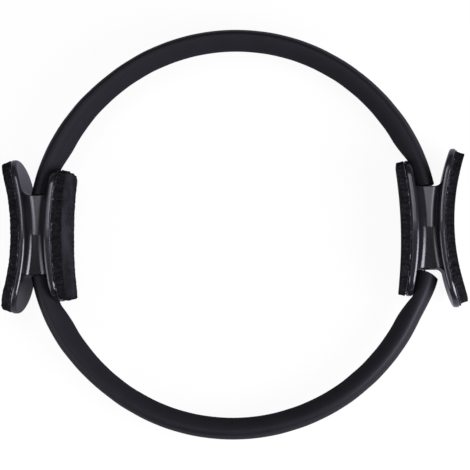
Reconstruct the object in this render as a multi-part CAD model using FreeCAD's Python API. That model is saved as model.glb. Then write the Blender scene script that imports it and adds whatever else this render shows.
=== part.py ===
import FreeCAD, Part

import math
import os

from FreeCAD import Vector

# A pilates ring lying on its side: a sprung hoop of two foam-covered steel strips, held at left and
# right by two moulded handles. Each handle is a pair of curved paddles joined by a hollow waist, with
# a foam pad on the inner and on the outer paddle. Millimetres, +Z up along the ring's axis, +X from
# the left handle to the right one, origin on the floor below the ring's centre.

# Foam sleeves and the spring strips inside them
ring_outer_diameter = 380.0
sleeve_thickness = 19.8
sleeve_width = 32.0
sleeve_nose_radius = 6.0
sleeve_end_gap = 0.6
sleeve_cut_angle = 12.0
strip_width = 20.0
strip_thickness = 1.3
strip_corner_radius = 3.0

# Handle: what both paddles share
paddle_width = 56.0
paddle_rim_radius = 2.3
rim_wall_share = 0.45
mould_draft = 2.0
parting_land = 6.0
draft_blend_radius = 60.0

# Outer paddle, which the palms or the legs press from outside
outer_paddle_length = 144.5
outer_paddle_thickness = 5.8
outer_face_radius = 200.0
outer_back_radius = 212.0
outer_tip_crown = 9.0
outer_corner_radius = 23.0

# Inner paddle, which the knees or the arms push from inside
inner_paddle_length = 123.0
inner_paddle_thickness = 7.4
inner_face_radius = 310.0
inner_back_radius = 265.0
inner_tip_crown = 3.0
inner_corner_radius = 18.0

# Waist between the paddles, with a blind socket at each end
waist_gap = 17.0
waist_depth_at_parting = 34.5
waist_fillet = 7.2
waist_length = 74.0
waist_root_margin = 0.5
mouth_outer_fillet = 6.0
mouth_inner_fillet = 0.8
socket_wall = 2.6
socket_corner_radius = 1.5
parting_wall = 4.0
rib_width = 9.0

# Foam pads and the adhesive sheets under them
pad_margin = 1.0
outer_pad_thickness = 7.5
outer_pad_crown = 8.0
outer_pad_corner_radius = 21.0
inner_pad_thickness = 7.6
inner_pad_free_radius = 430.0
inner_pad_crown = 1.2
inner_pad_corner_radius = 7.0
pad_edge_radius = 1.0
adhesive_thickness = 0.5
adhesive_inset = 0.4

# Screws that hold the strips in the sockets
screw_height = 18.0
screw_diameter = 4.0
screw_length = 25.0
screw_head_diameter = 7.6
screw_head_height = 2.4
screw_head_edge = 0.8
screw_recess_width = 3.4
screw_recess_slot = 1.0
screw_recess_depth = 1.4

# Clearances
glue_gap = 0.02
soft_clearance = 0.3
strip_clearance = 0.1
sleeve_slot_clearance = 0.15
thread_clearance = 0.05
through_clearance = 0.3
head_clearance = 0.4
head_sink = 0.5

# Sizes worked out from those above
ring_outer_radius = ring_outer_diameter / 2
ring_inner_radius = ring_outer_radius - sleeve_thickness
strip_radius = ring_outer_radius - sleeve_thickness / 2
mid_height = paddle_width / 2
mouth = waist_length / 2
pad_width = paddle_width - 2 * pad_margin
outer_pad_length = outer_paddle_length - 2 * pad_margin
inner_pad_length = inner_paddle_length - 2 * pad_margin
draft_slope = math.tan(math.radians(mould_draft))
beyond = paddle_width
ring_axis = Vector(0, 0, 1)
origin = Vector(0, 0, 0)


class Curve:
    """An arc in plan that crosses the X axis squarely at start and bends away to one side of there."""

    def __init__(self, start, radius, side):
        self.start = start
        self.radius = radius
        self.side = side
        self.centre_x = start + side * radius

    def x(self, y):
        return self.centre_x - self.side * math.sqrt(self.radius**2 - y**2)

    def point(self, y, z=0.0):
        return Vector(self.x(y), y, z)

    def edge(self, y_from, y_to):
        middle = (y_from + y_to) / 2
        return Part.Arc(self.point(y_from), self.point(middle), self.point(y_to)).toShape()

    def shifted(self, distance):
        """The concentric arc whose start lies this much further out along X."""
        return Curve(self.start + distance, self.radius - self.side * distance, self.side)

    def distance(self, point):
        """How far a point lies from this arc."""
        return abs(math.hypot(point.x - self.centre_x, point.y) - self.radius)

    def corner(self, radius, y):
        """Where a round of this radius touches the line at y and this arc, and a point between the two."""
        across = math.sqrt((self.radius + radius) ** 2 - (y + radius) ** 2)
        centre = Vector(self.centre_x - self.side * across, y + radius, 0)
        to_arc = (Vector(self.centre_x, 0, 0) - centre).normalize()
        to_line = Vector(0, -1, 0)
        half_way = (to_arc + to_line).normalize()
        return [centre + direction * radius for direction in (to_line, half_way, to_arc)]


outer_back = Curve(strip_radius + waist_gap / 2, outer_back_radius, 1)
outer_face = Curve(outer_back.start + outer_paddle_thickness, outer_face_radius, 1)
inner_back = Curve(strip_radius - waist_gap / 2, inner_back_radius, -1)
inner_face = Curve(inner_back.start - inner_paddle_thickness, inner_face_radius, -1)


def waist_depth(y):
    """How deep the waist is, front to back, at this distance from the parting line."""
    return waist_depth_at_parting - 2 * draft_slope * y


def prism(edges, along):
    return Part.Face(Part.Wire(edges)).extrude(along)


def line(a, b):
    return Part.LineSegment(a, b).toShape()


def loop(points):
    return [line(a, b) for a, b in zip(points, points[1:] + points[:1])]


def slab(curve_a, curve_b, y_from, y_to, z_from, z_to):
    """The plan between two arcs, from one y to another, raised from one height to another."""
    edges = [
        curve_a.edge(y_from, y_to),
        line(curve_a.point(y_to), curve_b.point(y_to)),
        curve_b.edge(y_to, y_from),
        line(curve_b.point(y_from), curve_a.point(y_from)),
    ]
    solid = prism(edges, Vector(0, 0, z_to - z_from))
    solid.translate(Vector(0, 0, z_from))
    return solid


def drafted_side(length, width, crown):
    """One side of an outline as (y, z) points: the parting land, three on an easing arc, the corner."""
    half, land = width / 2, parting_land / 2
    points = [(0, half)]
    for share in (0, 0.5, 1):
        turn = math.radians(mould_draft) * share
        drop = draft_blend_radius * (1 - math.cos(turn))
        points.append((land + draft_blend_radius * math.sin(turn), half - drop))
    y, z = points[-1]
    corner = length / 2 - crown
    return points + [(corner, z - (corner - y) * draft_slope)]


def outline(length, width, crown, corner_radius, x_from, x_to):
    """The upper half of a paddle's or pad's outline, seen along X: drafted sides, a bowed and rounded tip."""
    side = drafted_side(length, width, crown)
    low, high = ([Vector(x_from, y, end * z) for y, z in side] for end in (-1, 1))
    edges = [line(*low[:2]), Part.Arc(*low[1:4]).toShape(), line(*low[3:])]
    edges.append(Part.Arc(low[-1], Vector(x_from, length / 2, 0), high[-1]).toShape())
    edges += [line(*high[3:]), Part.Arc(*high[1:4]).toShape(), line(*high[:2]), line(high[0], low[0])]
    solid = prism(edges, Vector(x_to - x_from, 0, 0))
    corners = [e for e in solid.Edges if is_along(e, Vector(1, 0, 0)) and e.CenterOfMass.y > length / 4]
    return solid.makeFillet(corner_radius, corners)


def is_along(edge, direction):
    """Whether an edge is straight and runs along this direction."""
    if edge.Curve.TypeId != "Part::GeomLine":
        return False
    return edge.tangentAt(edge.FirstParameter).cross(direction).Length < 1e-6


def lies_on(edge, curve, tolerance=0.01):
    """Whether an edge's middle lies on a wall that stands over this arc, away from the parting line."""
    middle = edge.valueAt((edge.FirstParameter + edge.LastParameter) / 2)
    return middle.y > tolerance and abs(middle.x - curve.x(middle.y)) < tolerance


def sheet_half(low_curve, high_curve, length, width, crown, corner_radius):
    """The upper half of a curved sheet: the plan between two arcs, cut to its outline."""
    reach = length / 2 + 1
    x_low = min(low_curve.x(y) for y in (0, reach)) - 1
    x_high = max(high_curve.x(y) for y in (0, reach)) + 1
    form = slab(low_curve, high_curve, 0, reach, -width, width)
    return form.common(outline(length, width, crown, corner_radius, x_low, x_high))


def rounded(solid, radius, *curves):
    """The solid with its rim rounded where it runs along these arcs."""
    return solid.makeFillet(radius, [e for e in solid.Edges if any(lies_on(e, c) for c in curves)])


def rim_radius(low_curve, high_curve, length):
    """The paddles' rim radius, or as much of it as the wall at the tip leaves room for."""
    wall = low_curve.distance(high_curve.point(length / 2))
    return min(paddle_rim_radius, rim_wall_share * wall)


def whole(half):
    """Both halves of a piece that is the same above and below the parting line."""
    return half.fuse(half.mirror(origin, Vector(0, 1, 0))).removeSplitter()


def waist_channel():
    """The hollow in front of the waist, with a sloping floor and round corners, for y >= 0."""
    reach = mouth + 2 * waist_fillet
    floor = [Vector(0, 0, waist_depth(0) / 2), Vector(0, reach, waist_depth(reach) / 2)]
    below = floor + [Vector(0, reach, -beyond), Vector(0, 0, -beyond)]
    under = prism(loop(below), Vector(2 * ring_outer_radius, 0, 0))
    channel = slab(inner_back, outer_back, 0, reach, 0, beyond).cut(under)
    is_floor = [
        e
        for e in channel.Edges
        if any(lies_on(e, c) for c in (inner_back, outer_back))
        and abs(e.CenterOfMass.z - waist_depth(e.CenterOfMass.y) / 2) < 0.1
    ]
    return channel.makeFillet(waist_fillet, is_floor)


def waist_root():
    """What the waist may fill, front to back: just past the fillets of its sloping floors, for y >= 0."""
    reach = mouth + 2 * waist_fillet
    near, far = (waist_depth(y) / 2 + waist_fillet + waist_root_margin for y in (0, reach))
    corners = [Vector(0, 0, -near), Vector(0, reach, -far), Vector(0, reach, far), Vector(0, 0, near)]
    return prism(loop(corners), Vector(2 * ring_outer_radius, 0, 0))


def waist_half():
    """The upper half of the waist, reaching into the middle of both paddles, with an arched mouth."""
    outer_root = outer_back.shifted(outer_paddle_thickness / 2)
    inner_root = inner_back.shifted(-inner_paddle_thickness / 2)
    outer_line, outer_half, outer_touch = outer_back.corner(mouth_outer_fillet, mouth)
    inner_line, inner_half, inner_touch = inner_back.corner(mouth_inner_fillet, mouth)
    edges = [
        line(inner_root.point(0), outer_root.point(0)),
        outer_root.edge(0, outer_touch.y),
        line(outer_root.point(outer_touch.y), outer_touch),
        Part.Arc(outer_touch, outer_half, outer_line).toShape(),
        line(outer_line, inner_line),
        Part.Arc(inner_line, inner_half, inner_touch).toShape(),
        line(inner_touch, inner_root.point(inner_touch.y)),
        inner_root.edge(inner_touch.y, 0),
    ]
    web = prism(edges, Vector(0, 0, 2 * beyond))
    web.translate(Vector(0, 0, -beyond))
    front = waist_channel()
    return web.common(waist_root()).cut(front).cut(front.mirror(origin, ring_axis))


def socket():
    """The hollow in the upper half of the waist, with one rib on each side that the strip bears on."""
    x_low, x_high = inner_back.start + socket_wall, outer_back.start - socket_wall
    half = strip_width / 2 + strip_clearance
    start, length = parting_wall / 2, waist_length
    hollow = Part.makeBox(x_high - x_low, length, 2 * half, Vector(x_low, start, -half))
    corners = [e for e in hollow.Edges if is_along(e, Vector(0, 1, 0))]
    hollow = hollow.makeFillet(socket_corner_radius, corners)
    strip_outer = strip_radius + strip_thickness / 2 + strip_clearance
    strip_inner = math.sqrt((strip_radius - strip_thickness / 2) ** 2 - mouth**2) - strip_clearance
    for x_from, x_to in ((x_low, strip_inner), (strip_outer, x_high)):
        if x_to > x_from:
            corner = Vector(x_from, start, -rib_width / 2)
            hollow = hollow.cut(Part.makeBox(x_to - x_from, mouth - start, rib_width, corner))
    return hollow


def along_x(radius, x_from, x_to, y):
    return Part.makeCylinder(radius, x_to - x_from, Vector(x_from, y, 0), Vector(1, 0, 0))


screw_seat = outer_face.x(screw_height) - head_sink - screw_head_height
screw_tip = screw_seat - screw_length


def screw_holes():
    """The sunk seat, the free hole and the threaded hole of the upper screw."""
    head = screw_head_diameter / 2 + head_clearance
    seat = along_x(head, screw_seat, screw_seat + beyond, screw_height)
    free = along_x(screw_diameter / 2 + through_clearance, strip_radius, screw_seat, screw_height)
    tapped = along_x(screw_diameter / 2 + thread_clearance, screw_tip - 1, strip_radius, screw_height)
    return seat.fuse([free, tapped])


def handle_body():
    """One moulding: two paddles and the waist, with a socket and a screw hole above and below."""
    outer_shape = (outer_paddle_length, paddle_width, outer_tip_crown, outer_corner_radius)
    inner_shape = (inner_paddle_length, paddle_width, inner_tip_crown, inner_corner_radius)
    outer = sheet_half(outer_back, outer_face, *outer_shape)
    inner = sheet_half(inner_face, inner_back, *inner_shape)
    outer = rounded(outer, rim_radius(outer_back, outer_face, outer_paddle_length), outer_back, outer_face)
    inner = rounded(inner, rim_radius(inner_back, inner_face, inner_paddle_length), inner_face, inner_back)
    half = outer.fuse([inner, waist_half()])
    return whole(half.cut(socket().fuse(screw_holes())))


outer_pad_shape = (outer_pad_length, pad_width, outer_pad_crown, outer_pad_corner_radius)
inner_pad_shape = (inner_pad_length, pad_width, inner_pad_crown, inner_pad_corner_radius)
pad_lift = adhesive_thickness + 2 * glue_gap


def adhesive(low, high, pad_shape):
    """The sheet between two arcs that glues a pad on, set in from the pad's edge all round."""
    length, width, crown, corner_radius = pad_shape
    cut = 2 * adhesive_inset
    half = sheet_half(low, high, length - cut, width - cut, crown, corner_radius - adhesive_inset)
    return whole(half)


def outer_adhesive():
    low = outer_face.shifted(glue_gap)
    return adhesive(low, low.shifted(adhesive_thickness), outer_pad_shape)


def inner_adhesive():
    high = inner_face.shifted(-glue_gap)
    return adhesive(high.shifted(-adhesive_thickness), high, inner_pad_shape)


def outer_pad():
    """The outer foam pad: even in thickness, with a soft edge round its free face."""
    glued = outer_face.shifted(pad_lift)
    free = glued.shifted(outer_pad_thickness)
    return whole(rounded(sheet_half(glued, free, *outer_pad_shape), pad_edge_radius, free))


def inner_pad():
    """The inner foam pad: its free face is flatter than the paddle, so that it thins towards its ends."""
    glued = inner_face.shifted(-pad_lift)
    free = Curve(glued.start - inner_pad_thickness, inner_pad_free_radius, -1)
    return whole(rounded(sheet_half(free, glued, *inner_pad_shape), pad_edge_radius, free))


def screw():
    """A self-tapping screw with a rounded pan head and a cross recess, at the upper hole."""
    shank = along_x(screw_diameter / 2, screw_tip, screw_seat, screw_height)
    top = screw_seat + screw_head_height
    head = along_x(screw_head_diameter / 2, screw_seat, top, screw_height)
    rim = [e for e in head.Edges if abs(e.CenterOfMass.x - top) < 0.01]
    body = shank.fuse(head.makeFillet(screw_head_edge, rim)).removeSplitter()
    for wide, high in ((screw_recess_width, screw_recess_slot), (screw_recess_slot, screw_recess_width)):
        corner = Vector(top - screw_recess_depth, screw_height - wide / 2, -high / 2)
        body = body.cut(Part.makeBox(screw_recess_depth + 1, wide, high, corner))
    return body


def swept(face, y_end):
    """A section in the XZ plane, turned about the ring's axis over the upper half, down to y_end."""
    start = math.degrees(math.asin(y_end / strip_radius))
    solid = face.revolve(origin, ring_axis, 180 - 2 * start)
    solid.rotate(origin, ring_axis, start)
    return solid


def strip_section(clearance=0.0):
    """The flat strip's section, or the slot that it passes through."""
    x, z = strip_thickness / 2 + clearance, strip_width / 2 + clearance
    corners = [Vector(strip_radius + i, 0, k) for i, k in ((-x, -z), (x, -z), (x, z), (-x, z))]
    return Part.Face(Part.Wire(loop(corners)))


def spring_strip():
    """A flat steel strip bent to half a circle, with round corners and a screw hole at each end."""
    strip = swept(strip_section(), parting_wall / 2 + strip_clearance)
    corners = [e for e in strip.Edges if e.Length < 2 * strip_thickness]
    strip = strip.makeFillet(strip_corner_radius, corners)
    hole = along_x(screw_diameter / 2 + through_clearance, -beyond, beyond, screw_height)
    for side in (-1, 1):
        drill = hole.copy()
        drill.translate(Vector(side * strip_radius, 0, 0))
        strip = strip.cut(drill)
    return strip


def sleeve_section():
    """The sleeve's section: two bowed flanks that meet in a small round nose at the front and the back."""
    half_width, half_thick = sleeve_width / 2, sleeve_thickness / 2
    nose = half_width - sleeve_nose_radius
    top = Vector(strip_radius, 0, half_width)
    bottom = Vector(strip_radius, 0, -half_width)
    outer, inner = Vector(ring_outer_radius, 0, 0), Vector(ring_inner_radius, 0, 0)
    reach = half_thick - sleeve_nose_radius
    flank = (nose**2 + half_thick**2 - sleeve_nose_radius**2) / (2 * reach)
    lean = Vector(flank - half_thick, 0, nose).normalize()
    points = {}
    for side in (-1, 1):
        for end in (-1, 1):
            nose_centre = Vector(strip_radius, 0, end * nose)
            points[side, end] = nose_centre + Vector(side * lean.x, 0, end * lean.z) * sleeve_nose_radius
    edges = [
        Part.Arc(points[1, -1], outer, points[1, 1]).toShape(),
        Part.Arc(points[1, 1], top, points[-1, 1]).toShape(),
        Part.Arc(points[-1, 1], inner, points[-1, -1]).toShape(),
        Part.Arc(points[-1, -1], bottom, points[1, -1]).toShape(),
    ]
    return Part.Face(Part.Wire(edges))


def sleeve_end_cut():
    """What the right handle takes from the upper sleeve: a slanted end and a hollow for the inner paddle."""
    y_end = mouth + sleeve_end_gap
    rise = 2 * beyond * math.tan(math.radians(sleeve_cut_angle))
    x = ring_inner_radius * math.cos(math.asin(y_end / ring_inner_radius))
    below = [
        Vector(x - beyond, y_end - rise / 2, -beyond),
        Vector(x + beyond, y_end + rise / 2, -beyond),
        Vector(x + beyond, -beyond, -beyond),
        Vector(x - beyond, -beyond, -beyond),
    ]
    slanted = prism(loop(below), Vector(0, 0, 2 * beyond))
    reach = inner_paddle_length / 2 + soft_clearance
    behind = slab(inner_face, inner_back.shifted(soft_clearance), 0, reach, -beyond, beyond)
    return slanted.fuse(behind)


def foam_sleeve():
    """A foam tube with a flat slot for the strip, cut off just clear of both handles."""
    cut = sleeve_end_cut()
    slot = swept(strip_section(sleeve_slot_clearance), parting_wall)
    tube = swept(sleeve_section(), parting_wall).cut(slot)
    return tube.cut(cut).cut(cut.mirror(origin, Vector(1, 0, 0)))


def pieces():
    """Every piece by name, about the ring's middle plane."""
    found = {}
    across, upright = Vector(1, 0, 0), Vector(0, 1, 0)
    for name, shape in (("spring_strip", spring_strip()), ("foam_sleeve", foam_sleeve())):
        found["upper_" + name] = shape
        found["lower_" + name] = shape.mirror(origin, upright)
    upper_screw = screw()
    handle = {
        "handle_body": handle_body(),
        "outer_adhesive": outer_adhesive(),
        "inner_adhesive": inner_adhesive(),
        "outer_pad": outer_pad(),
        "inner_pad": inner_pad(),
        "upper_screw": upper_screw,
        "lower_screw": upper_screw.mirror(origin, upright),
    }
    for name, shape in handle.items():
        found["right_" + name] = shape
        found["left_" + name] = shape.mirror(origin, across)
    return found


def main():
    os.makedirs("parts", exist_ok=True)
    for name, shape in pieces().items():
        shape.translate(Vector(0, 0, mid_height))
        if not shape.isValid() or len(shape.Solids) != 1:
            raise ValueError(f"{name} is not one valid solid")
        shape.Solids[0].exportStep(f"parts/{name}.step")
        print(f"{name}: {shape.Volume / 1000:.2f} cm3")


main()
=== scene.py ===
import math

import bmesh
import bpy
import numpy as np
from mathutils import Matrix, Vector


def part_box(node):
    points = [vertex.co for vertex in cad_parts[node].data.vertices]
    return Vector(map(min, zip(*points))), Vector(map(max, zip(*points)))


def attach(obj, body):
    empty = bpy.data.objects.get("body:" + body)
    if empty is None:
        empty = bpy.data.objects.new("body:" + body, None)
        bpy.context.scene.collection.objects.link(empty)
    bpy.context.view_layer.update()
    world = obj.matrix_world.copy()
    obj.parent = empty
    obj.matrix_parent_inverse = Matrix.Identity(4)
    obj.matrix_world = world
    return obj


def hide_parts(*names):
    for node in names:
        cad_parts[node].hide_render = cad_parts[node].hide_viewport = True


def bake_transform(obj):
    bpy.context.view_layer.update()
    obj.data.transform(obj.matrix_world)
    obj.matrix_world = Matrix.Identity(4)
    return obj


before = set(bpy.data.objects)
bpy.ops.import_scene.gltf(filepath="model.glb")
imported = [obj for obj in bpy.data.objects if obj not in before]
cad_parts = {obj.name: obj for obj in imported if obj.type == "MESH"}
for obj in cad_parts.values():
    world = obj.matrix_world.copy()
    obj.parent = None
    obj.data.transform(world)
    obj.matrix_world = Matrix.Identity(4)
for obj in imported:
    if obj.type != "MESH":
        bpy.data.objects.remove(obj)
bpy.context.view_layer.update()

# A pilates ring that lies flat: a hoop of two foam sleeves over spring strips, and two moulded
# double-paddle handles with foam pads. Metres, +Z up along the ring's axis, +X to the right handle.

# Sizes read from the frame
sleeve_low, sleeve_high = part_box("upper_foam_sleeve")
MID_HEIGHT = (sleeve_low.z + sleeve_high.z) / 2
RING_OUTER_RADIUS = sleeve_high.y
SLEEVE_WIDTH = sleeve_high.z - sleeve_low.z

# Foam sleeves
SLEEVE_THICKNESS = 0.0198
SLEEVE_NOSE_RADIUS = 0.0045
SLEEVE_NOSE_SHIFT = 0.002
SLEEVE_END_EDGE = 0.0007
SLEEVE_WAVE = 0.0002
SLEEVE_WAVE_COUNTS = (9, 16, 31, 47)
SLEEVE_PHASE_SHIFT = 2.3
SLEEVE_RUB_REACH = 0.003
WAIST_MOUTH = 0.037
RING_RADIUS = RING_OUTER_RADIUS - SLEEVE_THICKNESS / 2
BLEND_START_ANGLE = math.radians(17)

# How each sleeve half ends beside its handle: its gap to the waist's mouth, the slant of its cut, the
# bulge of its outer side, and the two shares of the way to the crown between which the bulge fades
LONG_FADE = (0.12, 0.55)
LEFT_END = dict(gap=0.0001, slant=math.radians(2), bulge=0.0028, fades=LONG_FADE)
SLEEVE_ENDS = {
    ("left", "upper"): LEFT_END,
    ("left", "lower"): LEFT_END,
    ("right", "upper"): dict(gap=0.0001, slant=math.radians(9), bulge=0.0010, fades=LONG_FADE),
    ("right", "lower"): dict(gap=0.0006, slant=math.radians(22), bulge=0.0036, fades=(0.0, 0.16)),
}

# The inner paddle's back, which presses the sleeve in
PADDLE_BACK_START = 0.1716
PADDLE_BACK_RADIUS = 0.265
PADDLE_TIP = 0.0615
DENT_CLEARANCE = 0.0003
DENT_EASE = 0.022

# Foam pads: for the glued and the free face, where its arc crosses the X axis and the arc's radius, then
# the outline's sizes
OUTER_PAD = dict(
    glued=(0.19494, 0.19946),
    free=(0.20244, 0.19196),
    length=0.1425,
    width=0.054,
    crown=0.008,
    corner=0.021,
    phase=1.3,
)
INNER_PAD = dict(
    glued=(0.16366, 0.30946),
    free=(0.15606, 0.430),
    length=0.121,
    width=0.054,
    crown=0.0012,
    corner=0.007,
    phase=2.9,
)
PAD_CHANGES = {
    "right_outer_pad": dict(length=0.1385),
    "left_inner_pad": dict(free=(0.1544, 0.40)),
}
PAD_SIDE_DRAFT = math.tan(math.radians(2))
PAD_SIDE_LAND = 0.003
PAD_EDGE_RADIUS = 0.0009
PAD_WAVE = 0.0013
PAD_WAVE_COUNTS = (5, 17, 37, 59, 83)
PAD_PHASE_SHIFT = 0.4
PAD_SIDE_HOLLOW = 0.00025
PAD_FACE_CROWN = 0.0004

# How finely the pieces are divided
FLANK_STEPS = 28
NOSE_STEPS = 14
ROUND_STEPS = 5
SLEEVE_STEPS = 150
SLEEVE_STEP_POWER = 1.15
PAD_ARC_STEPS = 26
PAD_SIDE_STEPS = 70
PAD_CUT_STEPS = 6
PAD_FACE_SHARES = np.array([0.02, 0.12, 0.25, 0.4, 0.55, 0.7, 0.82, 0.92, 0.98])
SHARP_ANGLE = math.radians(40)
MERGE_DISTANCE = 1e-6
ROUNDING = 1e-9

# Finishes
HANDLE_EDGE_ROUND = 0.0018
COOL_TINT = (1.05, 1.0, 1.25)

# The floor: half its side, its grey to the object and to the camera, the share of white that is mixed in,
# and the sheen that mirrors see, which rises along Y over a band and tilts along X
FLOOR_HALF = 3.0
FLOOR_GREYS = (0.3, 0.9)
FLOOR_GLOW = 0.92
FLOOR_SHEEN_BAND = 0.1
FLOOR_SHEENS = (0.06, 0.26)
FLOOR_SHEEN_TILT = 0.15

# Three soft panels side by side behind the ring, each with its name, place across, width and radiance
BACK_PANELS = (("far", -0.62, 0.34, 0.5), ("left", -0.25, 0.4, 5.2), ("right", 0.15, 0.4, 2.4))
BACK_PANEL_BEHIND = 0.45
BACK_PANEL_ABOVE = 1.25
BACK_PANEL_HEIGHT = 0.6

# One tall soft panel beside each handle's lower half, each with its name, side and radiance
SIDE_PANELS = (("left", -1, 3.0), ("right", 1, 10.0))
SIDE_PANEL_ASIDE = 0.875
SIDE_PANEL_ALONG_Y = -0.456
SIDE_PANEL_ABOVE = 0.65
SIDE_PANEL_AIM_ABOVE = 0.45
SIDE_PANEL_WIDTH = 0.888
SIDE_PANEL_HEIGHT = 1.13

LAMP_COLOUR = (1.0, 0.97, 1.12)
SKY_LIGHT = 0.05
SKY_SHEEN = 0.05

# The camera, turned and moved as the photograph sees the ring
CAMERA_DISTANCE = 1.220
CAMERA_TURN = [math.radians(angle) for angle in (-5.951, -4.965, 0.635)]
CAMERA_ASIDE = (0.00314, -0.00244)
PHOTO_WIDTH = 470
PIXELS_PER_METRE = 1080.4


def smoothstep(low, high, value):
    """An S-curve from 0 at low to 1 at high: three squares less two cubes of the way between."""
    t = np.clip((value - low) / (high - low), 0, 1)
    return t * t * (3 - 2 * t)


def waves(distance, period, phase, counts):
    """A wobble between -1 and 1: the mean of sines that each close on themselves over the period."""
    turns = 2 * np.pi * distance / period
    sines = [np.sin(count * turns + phase * (k + 1)) for k, count in enumerate(counts)]
    return sum(sines) / len(counts)


def finished(name, mesh, finish):
    """A smooth piece at the origin, sharp only where its faces turn by more than the sharp angle."""
    mesh.materials.clear()
    mesh.materials.append(finish)
    mesh.shade_smooth()
    mesh.set_sharp_from_angle(angle=SHARP_ANGLE)
    piece = bpy.data.objects.new(name, mesh)
    bpy.context.scene.collection.objects.link(piece)
    return piece


def piece_from(name, points, faces, finish):
    """A piece made of an array of points and a list of faces."""
    mesh = bpy.data.meshes.new(name)
    mesh.from_pydata(points.tolist(), [], faces)
    mesh.validate()
    return finished(name, mesh, finish)


def lofted(name, rings, finish, turned=False):
    """A closed piece through an array of rings (ring, point, xyz), with a flat face at either end."""
    count, around = rings.shape[:2]
    index = np.arange(count * around).reshape(count, around)
    beside = np.roll(index, -1, axis=1)
    quads = np.stack([index[:-1], beside[:-1], beside[1:], index[1:]], axis=-1).reshape(-1, 4)
    faces = quads.tolist() + [index[0][::-1].tolist(), index[-1].tolist()]
    if turned:
        faces = [face[::-1] for face in faces]
    return piece_from(name, rings.reshape(-1, 3), faces, finish)


# Foam sleeves


def lens_section(thickness, width, nose, shift):
    """A lens, as x, z and the angle by which the normal leans at each point.

    The point whose normal leans by an angle lies on a flank arc or, near the ends, on a nose arc. The
    noses' middles stand a shift outside the middle, so the outer flank is flatter than the inner one.
    """
    reach = width / 2 - nose
    halves = np.array([thickness / 2 - shift, thickness / 2 + shift])
    flanks = (reach**2 + halves**2 - nose**2) / (2 * (halves - nose))
    outer_lean, inner_lean = np.arctan2(reach, flanks - halves)
    turns = [-outer_lean, outer_lean, np.pi - inner_lean, np.pi + inner_lean, 2 * np.pi - outer_lean]
    spans = zip(turns, turns[1:], (FLANK_STEPS, NOSE_STEPS) * 2)
    angle = np.concatenate([np.linspace(*span, endpoint=False) for span in spans])
    outward = np.cos(angle) > 0
    lean = np.where(outward, outer_lean, inner_lean)
    on_nose = np.abs(np.sin(angle)) > np.sin(lean) - ROUNDING
    radius = np.where(on_nose, nose, np.where(outward, *flanks))
    middle = np.where(outward, -1, 1) * np.where(outward, *(flanks - halves))
    centre_x = shift + np.where(on_nose, 0, middle)
    centre_z = np.where(on_nose, np.sign(np.sin(angle)) * reach, 0)
    return centre_x + radius * np.cos(angle), centre_z + radius * np.sin(angle), angle


def paddle_dent(out, upward):
    """How far along X the paddle's back presses foam that is this far out, and this far along Y.

    Up to the paddle's tip it is the way from the foam's own circle to the back's arc. Past the tip, the
    tip's dent fades as a parabola.
    """
    pressed = np.minimum(upward, PADDLE_TIP)
    back_centre = PADDLE_BACK_START - PADDLE_BACK_RADIUS
    wall = back_centre + np.sqrt(PADDLE_BACK_RADIUS**2 - pressed**2) + DENT_CLEARANCE
    dent = np.maximum(wall - np.sqrt(out**2 - pressed**2), 0)
    return dent * (1 - np.clip((upward - PADDLE_TIP) / DENT_EASE, 0, 1)) ** 2


def sleeve_half(name, side, up, finish, phase, gap, slant, bulge, fades):
    """A lens section carried round a quarter of the ring, from a cut beside the handle to the crown.

    The cut leans away as the square of the way out, and its edge is a quarter round. The paddle's back
    dents the inner side. Beside the handle the outer side stands out in a bulge, which fades between two
    shares of the way to the crown.
    """
    x, z, lean = lens_section(SLEEVE_THICKNESS, SLEEVE_WIDTH, SLEEVE_NOSE_RADIUS, SLEEVE_NOSE_SHIFT)
    turn = np.linspace(0, np.pi / 2, ROUND_STEPS)
    past_edge = np.zeros(SLEEVE_STEPS)
    inset = np.concatenate([SLEEVE_END_EDGE * (1 - np.sin(turn)), past_edge])[:, None]
    along = np.concatenate([SLEEVE_END_EDGE * (1 - np.cos(turn)), past_edge])[:, None]
    to_crown = np.linspace(0, 1, SLEEVE_STEPS + 1)[1:] ** SLEEVE_STEP_POWER
    share = np.concatenate([np.zeros(ROUND_STEPS), to_crown])[:, None]
    out = RING_RADIUS + x - inset * np.cos(lean)
    height = MID_HEIGHT + z - inset * np.sin(lean)
    outward = (x + SLEEVE_THICKNESS / 2) / SLEEVE_THICKNESS
    cut = WAIST_MOUTH + gap + outward**2 * SLEEVE_THICKNESS * math.tan(slant)
    start = np.arcsin(cut / (RING_RADIUS + x))
    angle = start + along / RING_RADIUS + (np.pi / 2 - start) * share
    near_end = 1 - smoothstep(*fades, share)
    wobble = waves(angle, 2 * np.pi, phase, SLEEVE_WAVE_COUNTS) * np.sin(2 * angle)
    out = out + bulge * near_end * outward + SLEEVE_WAVE * wobble
    across, upward = out * np.cos(angle), out * np.sin(angle)
    across = across + np.where(x < 0, paddle_dent(out, upward), 0)
    rings = np.stack(np.broadcast_arrays(side * across, up * upward, height), axis=-1)
    return lofted(name, rings, finish, turned=side * up > 0)


# Foam pads


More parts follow.
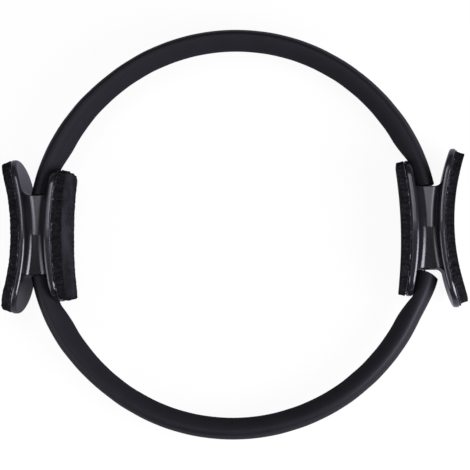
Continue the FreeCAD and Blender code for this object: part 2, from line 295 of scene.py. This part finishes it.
def pad_outline(length, width, crown, corner):
    """A pad's outline as points (y, z): sides that lean in past a short land, bowed tips, round corners.

    A corner's middle lies a corner radius inside both the leaning side and the tip's arc, where their
    two offset curves meet.
    """
    half, slope = width / 2, PAD_SIDE_DRAFT
    tip_half = half - (length / 2 - crown - PAD_SIDE_LAND) * slope
    tip_radius = (tip_half**2 + crown**2) / (2 * crown)
    tip_centre = length / 2 - tip_radius
    level = half + PAD_SIDE_LAND * slope - corner * math.hypot(1, slope)
    middle = (tip_centre + slope * level) / (1 + slope**2)
    gap = tip_centre**2 + level**2 - (tip_radius - corner) ** 2
    corner_y = middle + math.sqrt(middle**2 - gap / (1 + slope**2))
    corner_z = level - slope * corner_y
    swing = math.atan2(corner_z, corner_y - tip_centre)
    tip = np.linspace(0, swing, PAD_ARC_STEPS, endpoint=False)
    bend = np.linspace(swing, np.pi / 2 - math.atan(slope), PAD_ARC_STEPS)
    side_y = np.linspace(corner_y + corner * math.cos(bend[-1]), 0, PAD_SIDE_STEPS + 1)[1:-1]
    side_z = half - np.maximum(side_y - PAD_SIDE_LAND, 0) * slope
    y = np.concatenate([tip_centre + tip_radius * np.cos(tip), corner_y + corner * np.cos(bend), side_y])
    z = np.concatenate([tip_radius * np.sin(tip), corner_z + corner * np.sin(bend), side_z])
    quarter = np.stack([y, z], axis=-1)
    upper = np.concatenate([quarter, [[0, half]], (quarter * [-1, 1])[::-1]])
    return np.concatenate([upper, (upper * [1, -1])[::-1][1:-1]])


def outward_normals(outline):
    """Unit normals of a closed outline round the origin, square to the line between the neighbours."""
    along = np.roll(outline, -1, axis=0) - np.roll(outline, 1, axis=0)
    normal = np.stack([along[:, 1], -along[:, 0]], axis=-1)
    normal = normal / np.linalg.norm(normal, axis=1, keepdims=True)
    return normal * np.sign(np.sum(normal * outline, axis=1, keepdims=True))


def foam_pad(name, side, finish, phase, glued, free, length, width, crown, corner):
    """A die-cut foam pad: rings from the middle of the glued face to its edge, up the side and back in.

    Every ring is the outline, drawn in by a share or an inset. Depth runs from the glued arc to the free
    arc, and draws the ring towards the middle as the glued arc's own radii do, so that the cut ends stand
    square to the foam. The outline wobbles a little, the side is hollow by a sine, and the free face is
    crowned by one less the fourth power of the share. An attribute marks the free face, which the finish
    makes lighter: partly for its own smoother skin, partly as a painted sheen.
    """
    outline = pad_outline(length, width, crown, corner)
    normal = outward_normals(outline)
    steps = np.linalg.norm(np.diff(outline, axis=0, append=outline[:1]), axis=1)
    wobble = waves(np.cumsum(steps) - steps, steps.sum(), phase, PAD_WAVE_COUNTS)
    edge = outline + normal * (PAD_WAVE * wobble)[:, None]
    thickness = abs(free[0] - glued[0])
    turn = np.linspace(0, np.pi / 2, ROUND_STEPS)
    level = np.linspace(0, 1, PAD_CUT_STEPS, endpoint=False)
    hollow = PAD_SIDE_HOLLOW * np.sin(np.pi * level)
    inset = np.concatenate([hollow, PAD_EDGE_RADIUS * (1 - np.cos(turn))])
    rise = PAD_EDGE_RADIUS * (1 - np.sin(turn))
    shares_out, shares_back = PAD_FACE_SHARES, PAD_FACE_SHARES[::-1]
    glued_face = edge * shares_out[:, None, None]
    cut_side = edge - normal * inset[:, None, None]
    free_face = (edge - normal * PAD_EDGE_RADIUS) * shares_back[:, None, None]
    flat = np.concatenate([glued_face, cut_side, free_face])
    side_depth = np.concatenate([level * (thickness - PAD_EDGE_RADIUS), thickness - rise])
    crowned = thickness + PAD_FACE_CROWN * (1 - shares_back**4)
    depth = np.concatenate([np.zeros(len(glued_face)), side_depth, crowned])[:, None]
    bends = np.sign(free[0] - glued[0])
    y = flat[..., 0] * (1 - depth / glued[1])
    arcs = [start + bends * (radius - np.sqrt(radius**2 - y**2)) for start, radius in (glued, free)]
    x = arcs[0] + (arcs[1] - arcs[0]) * depth / thickness
    rings = np.stack([side * x, y, MID_HEIGHT + flat[..., 1]], axis=-1)
    piece = lofted(name, rings, finish, turned=side * bends < 0)
    # The free face's points, which the finish makes lighter: its smoother skin, with a painted sheen
    on_skin_and_sheen = np.arange(len(flat)) >= len(flat) - len(free_face)
    skin = piece.data.attributes.new("skin", "FLOAT", "POINT")
    skin.data.foreach_set("value", np.repeat(on_skin_and_sheen, len(outline)).astype(np.float32))
    return piece


# Spring strips


def strip_half(node, name, side, finish):
    """One half of a spring strip: a copy of its solid, merged, and cut and closed at the crown."""
    shape = bmesh.new()
    shape.from_mesh(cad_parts[node].data)
    bmesh.ops.remove_doubles(shape, verts=shape.verts, dist=MERGE_DISTANCE)
    everything = shape.verts[:] + shape.edges[:] + shape.faces[:]
    crown_plane = dict(plane_co=(0, 0, 0), plane_no=(-side, 0, 0))
    bmesh.ops.bisect_plane(shape, geom=everything, clear_outer=True, **crown_plane)
    bmesh.ops.edgeloop_fill(shape, edges=[edge for edge in shape.edges if edge.is_boundary])
    mesh = bpy.data.meshes.new(name)
    shape.to_mesh(mesh)
    shape.free()
    return finished(name, mesh, finish)


# Materials


class Value:
    """A socket of a finish, on which Python's operators add Math nodes."""

    def __init__(self, finish, socket):
        self.finish = finish
        self.socket = socket

    def math(self, operation, *others):
        values = dict(enumerate((self,) + others))
        return self.finish.node("ShaderNodeMath", dict(operation=operation), values)[0]

    def between(self, low, high):
        """A value from 0 to 1, spread from low to high."""
        return self * (high - low) + low

    def mapped(self, start, end, low, high):
        """The value's way from start to end, held inside them and spread from low to high."""
        values = {"Value": self, "From Min": start, "From Max": end, "To Min": low, "To Max": high}
        return self.finish.node("ShaderNodeMapRange", None, values)["Result"]

    def __add__(self, other):
        return self.math("ADD", other)

    def __mul__(self, other):
        return self.math("MULTIPLY", other)

    def __sub__(self, other):
        return self.math("SUBTRACT", other)

    def __rsub__(self, other):
        return (self * -1) + other

    __radd__ = __add__
    __rmul__ = __mul__


class Outputs:
    """A made node's outputs, by name or by number."""

    def __init__(self, finish, made):
        self.finish = finish
        self.made = made

    def __getitem__(self, key):
        return Value(self.finish, self.made.outputs[key])


class Finish:
    """One procedural material, or the world's light: a shader and the nodes that feed it."""

    def __init__(self, name, kept_in="materials"):
        self.owner = getattr(bpy.data, kept_in).new(name)
        self.owner.use_nodes = True
        self.tree = self.owner.node_tree
        self.tree.nodes.clear()
        self.place = self.node("ShaderNodeTexCoord")["Object"]

    def node(self, kind, settings=None, values=None):
        """A node of this kind with its settings made first, then its sockets given values or links."""
        made = self.tree.nodes.new(kind)
        for key, setting in (settings or {}).items():
            if key == "stops":
                for stop, (position, colour) in zip(self.ramp_stops(made, len(setting)), setting):
                    stop.position = position
                    stop.color = colour
            else:
                setattr(made, key, setting)
        for key, value in (values or {}).items():
            if isinstance(value, Value):
                self.tree.links.new(value.socket, made.inputs[key])
            else:
                made.inputs[key].default_value = value
        return Outputs(self, made)

    @staticmethod
    def ramp_stops(made, count):
        elements = made.color_ramp.elements
        while len(elements) < count:
            elements.new(1.0)
        return elements

    def axes(self):
        """The place on the object as X, Y and Z."""
        return self.node("ShaderNodeSeparateXYZ", None, {"Vector": self.place})

    def noise(self, size, detail, roughness=0.5):
        """Noise whose features are about this many metres across, from 0 to 1."""
        settings = dict(noise_dimensions="3D")
        values = {"Vector": self.place, "Scale": 1 / size, "Detail": detail, "Roughness": roughness}
        return self.node("ShaderNodeTexNoise", settings, values)["Fac"]

    def cells(self, size):
        """The distance to the nearest of many cell middles about this many metres apart."""
        values = {"Vector": self.place, "Scale": 1 / size}
        return self.node("ShaderNodeTexVoronoi", dict(feature="F1"), values)["Distance"]

    def ramp(self, value, *stops):
        """The colour at a value, between stops of a position and a colour."""
        return self.node("ShaderNodeValToRGB", dict(stops=stops), {"Fac": value})["Color"]

    def bump(self, height, strength, distance, **others):
        values = {"Height": height, "Strength": strength, "Distance": distance}
        return self.node("ShaderNodeBump", None, values | others)["Normal"]

    def surface(self, **values):
        """The surface shader, with socket names written with underscores."""
        sockets = {key.replace("_", " "): value for key, value in values.items()}
        shader = self.node("ShaderNodeBsdfPrincipled", None, sockets)["BSDF"]
        self.node("ShaderNodeOutputMaterial", None, {"Surface": shader})
        return self.owner


def grey(level):
    return (level, level, level, 1.0)


def cool(level):
    """A grey with the slight violet cast of black foam and plastic."""
    red, green, blue = COOL_TINT
    return (level * red, level * green, level * blue, 1.0)


def moulded_plastic():
    """Glossy black moulding: faint flow streaks, an orange-peel skin and a few duller smears."""
    finish = Finish("black_moulding")
    smears = finish.noise(size=0.03, detail=4.0)
    skin = finish.noise(size=0.0011, detail=2.0)
    streaks = finish.noise(size=0.012, detail=3.0)
    colour = finish.ramp(streaks, (0.3, cool(0.006)), (0.7, cool(0.010)))
    edges = finish.node("ShaderNodeBevel", dict(samples=8), {"Radius": HANDLE_EDGE_ROUND})["Normal"]
    normal = finish.bump(skin, strength=0.05, distance=0.0002, Normal=edges)
    dull = smears.between(0.16, 0.24)
    return finish.surface(Base_Color=colour, Roughness=dull, Normal=normal, IOR=1.6)


def pad_foam():
    """Die-cut foam: small open cells, nearly black in the pores, and charcoal where it is scuffed.

    The free face is lighter, in slow patches: partly its own smoother skin, partly a painted sheen.
    """
    finish = Finish("pad_foam")
    pores = finish.cells(size=0.0011)
    cloud = finish.noise(size=0.008, detail=5.0, roughness=0.6)
    scuffs = finish.noise(size=0.0022, detail=4.0, roughness=0.6)
    skin = finish.node("ShaderNodeAttribute", dict(attribute_name="skin"))["Fac"]
    patches = finish.noise(size=0.028, detail=2.0)
    # The skin term lifts the free face's shade: partly its own skin, partly a painted sheen
    shade = pores * 0.2 + cloud * 0.35 + scuffs * 0.45 + skin * (patches * 0.6 - 0.22)
    stops = (0.38, cool(0.0010)), (0.50, cool(0.0030)), (0.64, cool(0.012)), (0.78, cool(0.021))
    return finish.surface(
        Base_Color=finish.ramp(shade, *stops),
        Roughness=cloud.between(0.8, 0.95),
        Normal=finish.bump(pores * 0.5 + scuffs * 0.5, strength=0.6, distance=0.0007),
        IOR=1.4,
        Specular_IOR_Level=0.15,
    )


def sleeve_foam():
    """Extruded soft foam: a skin with fine grain and slow clouds of shade, duller inside the ring."""
    finish = Finish("sleeve_foam")
    grain = finish.noise(size=0.0008, detail=3.0)
    cloud = finish.noise(size=0.02, detail=4.0)
    along = finish.axes()
    radius = (along["X"] * along["X"] + along["Y"] * along["Y"]).math("SQRT")
    dull = radius.mapped(RING_RADIUS - SLEEVE_RUB_REACH, RING_RADIUS + SLEEVE_RUB_REACH, 0.72, 0.46)
    return finish.surface(
        Base_Color=finish.ramp(grain * 0.4 + cloud * 0.6, (0.3, cool(0.0052)), (0.7, cool(0.0082))),
        Roughness=dull + cloud * 0.15,
        Normal=finish.bump(grain, strength=0.3, distance=0.0003),
        IOR=1.45,
        Specular_IOR_Level=0.19,
    )


def adhesive_sheet():
    """Thin double-sided sheet: dull black, with lint and scuffs in pale flecks along its cut edge."""
    finish = Finish("adhesive_sheet")
    lint = finish.noise(size=0.004, detail=5.0, roughness=0.65)
    grain = finish.noise(size=0.0006, detail=2.0)
    shade = lint * 0.75 + grain * 0.25
    colour = finish.ramp(shade, (0.42, cool(0.006)), (0.56, cool(0.05)), (0.66, grey(0.42)))
    return finish.surface(Base_Color=colour, Roughness=grain.between(0.6, 0.8), Specular_IOR_Level=0.2)


def steel(name, low, high, dull):
    """Bare steel: fine drawn streaks in shade and gloss."""
    finish = Finish(name)
    streaks = finish.noise(size=0.0015, detail=5.0, roughness=0.7)
    colour = finish.ramp(streaks, (0.3, grey(low)), (0.7, grey(high)))
    return finish.surface(Base_Color=colour, Metallic=1.0, Roughness=streaks.between(dull, dull + 0.15))


# The object's pieces


def settle(piece, body, node):
    """The piece rides on a body in place of a solid."""
    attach(piece, body)
    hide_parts(node)


def bend(piece, side, up, hand, level, node, slot):
    """The piece takes the place of a stiff solid: its placement is baked into its points, and the solid
    is hidden.
    """
    way = Vector((side * math.cos(BLEND_START_ANGLE), up * math.sin(BLEND_START_ANGLE), 0))
    crown = Vector((0, up * RING_RADIUS, 0))
    if hand == "left":
        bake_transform(piece)
    else:
        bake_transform(piece)
    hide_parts(node)


def dress_ring():
    """Finishes for the solids that stay, and new pieces in place of the pads, sleeves and strips."""
    plastic, pads, sleeves = moulded_plastic(), pad_foam(), sleeve_foam()
    spring = steel("blued_spring_steel", low=0.05, high=0.09, dull=0.3)
    screws = steel("screw_steel", low=0.45, high=0.6, dull=0.2)
    kept = {"handle_body": plastic, "adhesive": adhesive_sheet(), "screw": screws}
    for name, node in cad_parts.items():
        for ending, finish in kept.items():
            if name.endswith(ending):
                node.data.materials.clear()
                node.data.materials.append(finish)
    for side, hand in ((-1, "left"), (1, "right")):
        for place, sizes in (("outer", OUTER_PAD), ("inner", INNER_PAD)):
            node = f"{hand}_{place}_pad"
            phase = sizes["phase"] + side * PAD_PHASE_SHIFT
            sizes = sizes | PAD_CHANGES.get(node, {}) | dict(phase=phase)
            piece = foam_pad(f"{node}_foam", side, pads, **sizes)
            settle(piece, f"{hand}_handle", node)
        for up, level in ((1, "upper"), (-1, "lower")):
            node = f"{level}_foam_sleeve"
            phase = side + SLEEVE_PHASE_SHIFT * up
            end = SLEEVE_ENDS[hand, level]
            piece = sleeve_half(f"{level}_sleeve_{hand}", side, up, sleeves, phase, **end)
            bend(piece, side, up, hand, level, node, "sleeve_foam")
            node = f"{level}_spring_strip"
            piece = strip_half(node, f"{level}_strip_{hand}", side, spring)
            bend(piece, side, up, hand, level, node, "spring_steel")


# The studio


def floor():
    """A floor that the camera and mirrors see as nearly white, with the object's faint shadow kept."""
    corners = ((-1, -1), (1, -1), (1, 1), (-1, 1))
    points = np.array([(x * FLOOR_HALF, y * FLOOR_HALF, 0.0) for x, y in corners])
    finish = Finish("pale_floor")
    path = finish.node("ShaderNodeLightPath")
    along = finish.axes()
    rise = along["Y"].mapped(-FLOOR_SHEEN_BAND, FLOOR_SHEEN_BAND, *FLOOR_SHEENS)
    mirrored = path["Is Glossy Ray"] * (rise + along["X"] * FLOOR_SHEEN_TILT)
    seen = path["Is Camera Ray"] + mirrored + path["Is Transmission Ray"]
    shade = path["Is Camera Ray"].between(*FLOOR_GREYS)
    paper = finish.node("ShaderNodeBsdfDiffuse", None, {"Color": shade})["BSDF"]
    tint = {"Factor": path["Is Glossy Ray"], "A": grey(1.0), "B": cool(1.0)}
    white = finish.node("ShaderNodeMix", dict(data_type="RGBA"), tint)["Result"]
    glow = finish.node("ShaderNodeEmission", None, {"Color": white, "Strength": 1.0})["Emission"]
    mixed = finish.node("ShaderNodeMixShader", None, {0: seen * FLOOR_GLOW, 1: paper, 2: glow})[0]
    finish.node("ShaderNodeOutputMaterial", None, {"Surface": mixed})
    piece = piece_from("floor", points, [[0, 1, 2, 3]], finish.owner)


def softbox(name, place, aim, width, height, radiance):
    """A soft area lamp that looks from its place at a point, as bright to the eye at any size."""
    lamp = bpy.data.lights.new(name, "AREA")
    lamp.shape = "RECTANGLE"
    lamp.size = width
    lamp.size_y = height
    lamp.energy = radiance * math.pi * width * height
    lamp.color = LAMP_COLOUR
    holder = bpy.data.objects.new(name, lamp)
    holder.location = place
    holder.rotation_euler = (Vector(aim) - Vector(place)).to_track_quat("-Z", "Y").to_euler()
    bpy.context.scene.collection.objects.link(holder)


def panels():
    """The panels behind the ring look down at it, and those beside it look across its front."""
    for name, x, width, radiance in BACK_PANELS:
        place = (x, BACK_PANEL_BEHIND, BACK_PANEL_ABOVE)
        softbox(f"back_{name}_box", place, (x, 0, MID_HEIGHT), width, BACK_PANEL_HEIGHT, radiance)
    aim = (0, SIDE_PANEL_ALONG_Y, SIDE_PANEL_AIM_ABOVE)
    for name, side, radiance in SIDE_PANELS:
        place = (side * SIDE_PANEL_ASIDE, SIDE_PANEL_ALONG_Y, SIDE_PANEL_ABOVE)
        softbox(f"{name}_box", place, aim, SIDE_PANEL_WIDTH, SIDE_PANEL_HEIGHT, radiance)


def sky():
    """A sky that the camera sees as white, and that hardly lights the object."""
    finish = Finish("studio_sky", kept_in="worlds")
    path = finish.node("ShaderNodeLightPath")
    seen = path["Is Camera Ray"] + path["Is Glossy Ray"] * SKY_SHEEN + path["Is Transmission Ray"]
    values = {"Color": grey(1.0), "Strength": seen.between(SKY_LIGHT, 1.0)}
    light = finish.node("ShaderNodeBackground", None, values)["Background"]
    finish.node("ShaderNodeOutputWorld", None, {"Surface": light})
    bpy.context.scene.world = finish.owner


def camera():
    """A long-lens camera above the ring, a little to the right of and below its centre."""
    lens = bpy.data.cameras.new("camera")
    lens.lens = lens.sensor_width * PIXELS_PER_METRE * CAMERA_DISTANCE / PHOTO_WIDTH
    yaw, pitch, roll = CAMERA_TURN
    turn = Matrix.Rotation(roll, 3, "Z") @ Matrix.Rotation(pitch, 3, "X") @ Matrix.Rotation(yaw, 3, "Y")
    place = Vector((*CAMERA_ASIDE, CAMERA_DISTANCE))
    holder = bpy.data.objects.new("camera", lens)
    lift = Matrix.Translation((0, 0, MID_HEIGHT))
    holder.matrix_world = lift @ turn.transposed().to_4x4() @ Matrix.Translation(place)
    bpy.context.scene.collection.objects.link(holder)
    bpy.context.scene.camera = holder


dress_ring()
floor()
panels()
sky()
camera()
bpy.context.scene.view_settings.view_transform = "Standard"
